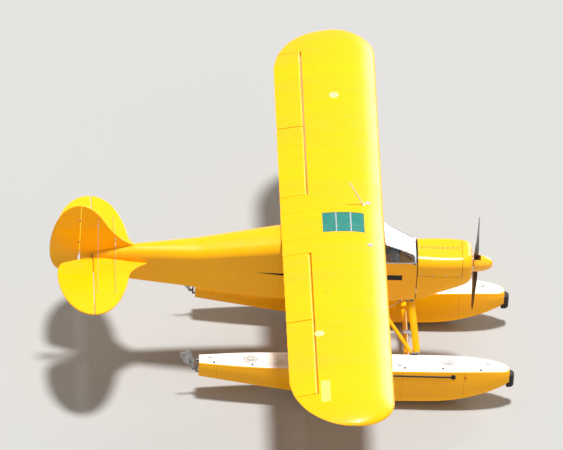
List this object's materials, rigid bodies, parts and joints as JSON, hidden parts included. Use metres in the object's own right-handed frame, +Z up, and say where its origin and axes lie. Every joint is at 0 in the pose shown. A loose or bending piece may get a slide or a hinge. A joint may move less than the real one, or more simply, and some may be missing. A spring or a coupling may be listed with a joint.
{
  "type": "two-seat high-wing floatplane",
  "caption": "Strut-braced high-wing light floatplane with tandem seats, fabric-covered wings and tail, a tractor propeller and two stepped floats.",
  "frame": {"origin": "on the floor, midway between the tail end and the bow bumpers and midway between the wing tips", "axes": "+X to the nose, +Y to the left wing, +Z up"},
  "size_m": [7.26, 10.7286, 2.9309],
  "materials": {
    "fabric_cover": "doped fabric with gloss yellow paint",
    "painted_aluminium": "gloss yellow paint",
    "painted_steel": "gloss yellow paint",
    "floor_board": "satin",
    "steel": "satin",
    "castings": "matte",
    "blade_paint": "satin dark brown paint",
    "panel_paint": "matte black paint",
    "seat_cloth": "woven cloth",
    "black_rubber": "matte",
    "bare_aluminium": "dull",
    "white_plastic": "gloss",
    "clear_glass": "clear acrylic",
    "tinted_glass": "green-blue tinted acrylic"
  },
  "bodies": {
    "airframe": {"fuselage_tail": "fabric_cover", "cabin_wall_left": "fabric_cover", "cabin_wall_right": "fabric_cover", "cabin_floor": "floor_board", "cabin_roof": "painted_aluminium", "skylight": "tinted_glass", "window_rear_left": "clear_glass", "window_rear_right": "clear_glass", "window_left": "clear_glass", "boot_cowl": "painted_aluminium", "firewall": "steel", "windshield": "clear_glass", "engine_block": "castings", "cowl_lower": "painted_aluminium", "nose_bowl": "painted_aluminium", "instrument_panel": "panel_paint", "front_seat": "seat_cloth", "front_seat_frame": "steel", "rear_seat": "seat_cloth", "rear_seat_frame": "steel", "control_sticks": "steel", "wing_left": "fabric_cover", "wing_right": "fabric_cover", "lift_strut_front_left": "painted_steel", "lift_strut_front_right": "painted_steel", "lift_strut_rear_left": "painted_steel", "lift_strut_rear_right": "painted_steel", "stabilizer_left": "fabric_cover", "stabilizer_right": "fabric_cover", "fin": "fabric_cover", "float_left": "painted_aluminium", "float_right": "painted_aluminium", "bumper_left": "black_rubber", "bumper_right": "black_rubber", "spreader_front": "painted_steel", "spreader_rear": "painted_steel", "float_strut_front_left": "painted_steel", "float_strut_front_right": "painted_steel", "float_strut_rear_left": "painted_steel", "float_strut_rear_right": "painted_steel", "antenna": "white_plastic"},
    "propeller": {"propeller": "blade_paint", "spinner": "painted_aluminium"},
    "door_upper": {"door_upper": "painted_aluminium", "door_window": "clear_glass"},
    "door_lower": {"door_lower": "painted_aluminium"},
    "cowl_door_left": {"cowl_door_left": "painted_aluminium"},
    "cowl_door_right": {"cowl_door_right": "painted_aluminium"},
    "aileron_left": {"aileron_left": "fabric_cover"},
    "aileron_right": {"aileron_right": "fabric_cover"},
    "flap_left": {"flap_left": "fabric_cover"},
    "flap_right": {"flap_right": "fabric_cover"},
    "elevators": {"elevator_left": "fabric_cover", "elevator_right": "fabric_cover"},
    "rudder": {"rudder": "fabric_cover"},
    "water_rudder_post_left": {"water_rudder_post_left": "steel"},
    "water_rudder_post_right": {"water_rudder_post_right": "steel"},
    "water_rudder_blade_left": {"water_rudder_blade_left": "bare_aluminium"},
    "water_rudder_blade_right": {"water_rudder_blade_right": "bare_aluminium"}
  },
  "joints": [
    {"name": "propeller_spin", "type": "hinge", "parent": "airframe", "child": "propeller", "pos_m": [3.01, 0, 1.83], "axis": [1, 0, 0], "continuous": true},
    {"name": "door_upper_hinge", "type": "hinge", "parent": "airframe", "child": "door_upper", "pos_m": [0.8525, -0.375, 2.298], "axis": [-1, 0, 0], "range_deg": [0, 88]},
    {"name": "door_lower_hinge", "type": "hinge", "parent": "airframe", "child": "door_lower", "pos_m": [0.8525, -0.375, 1.422], "axis": [1, 0, 0], "range_deg": [0, 170]},
    {"name": "cowl_door_left_hinge", "type": "hinge", "parent": "airframe", "child": "cowl_door_left", "pos_m": [2.44, 0.017, 2.0974], "axis": [1, 0, 0], "range_deg": [0, 80]},
    {"name": "cowl_door_right_hinge", "type": "hinge", "parent": "airframe", "child": "cowl_door_right", "pos_m": [2.44, -0.017, 2.0974], "axis": [-1, 0, 0], "range_deg": [0, 80]},
    {"name": "aileron_left_hinge", "type": "hinge", "parent": "airframe", "child": "aileron_left", "pos_m": [0.339, 3.64378, 2.48311], "axis": [0, 0.9998, 0.0175], "range_deg": [-18, 18]},
    {"name": "aileron_right_hinge", "type": "hinge", "parent": "airframe", "child": "aileron_right", "pos_m": [0.339, -3.64378, 2.48311], "axis": [0, 0.9998, -0.0175], "range_deg": [-18, 18]},
    {"name": "flap_left_hinge", "type": "hinge", "parent": "airframe", "child": "flap_left", "pos_m": [0.339, 1.69908, 2.44916], "axis": [0, -0.9998, -0.0175], "range_deg": [0, 50]},
    {"name": "flap_right_hinge", "type": "hinge", "parent": "airframe", "child": "flap_right", "pos_m": [0.339, -1.69908, 2.44916], "axis": [0, -0.9998, 0.0175], "range_deg": [0, 50]},
    {"name": "elevator_hinge", "type": "hinge", "parent": "airframe", "child": "elevators", "pos_m": [-2.95, 0, 1.77], "axis": [0, 1, 0], "range_deg": [-15, 25]},
    {"name": "rudder_hinge", "type": "hinge", "parent": "airframe", "child": "rudder", "pos_m": [-3.165, 0, 2], "axis": [0, 0, 1], "range_deg": [-25, 25]},
    {"name": "water_rudder_left_steer", "type": "hinge", "parent": "airframe", "child": "water_rudder_post_left", "pos_m": [-1.283, 1.06, 0.49], "axis": [0, 0, 1], "range_deg": [-25, 25]},
    {"name": "water_rudder_right_steer", "type": "hinge", "parent": "airframe", "child": "water_rudder_post_right", "pos_m": [-1.283, -1.06, 0.49], "axis": [0, 0, 1], "range_deg": [-25, 25]},
    {"name": "water_rudder_left_lower", "type": "hinge", "parent": "water_rudder_post_left", "child": "water_rudder_blade_left", "pos_m": [-1.335, 1.06, 0.432], "axis": [0, -1, 0], "range_deg": [0, 142]},
    {"name": "water_rudder_right_lower", "type": "hinge", "parent": "water_rudder_post_right", "child": "water_rudder_blade_right", "pos_m": [-1.335, -1.06, 0.432], "axis": [0, -1, 0], "range_deg": [0, 142]}
  ],
  "couplings": [
    {"joint": "aileron_right_hinge", "follows": "aileron_left_hinge", "ratio": -1},
    {"joint": "flap_right_hinge", "follows": "flap_left_hinge", "ratio": 1},
    {"joint": "water_rudder_left_steer", "follows": "rudder_hinge", "ratio": 1},
    {"joint": "water_rudder_right_steer", "follows": "rudder_hinge", "ratio": 1},
    {"joint": "water_rudder_right_lower", "follows": "water_rudder_left_lower", "ratio": 1}
  ]
}
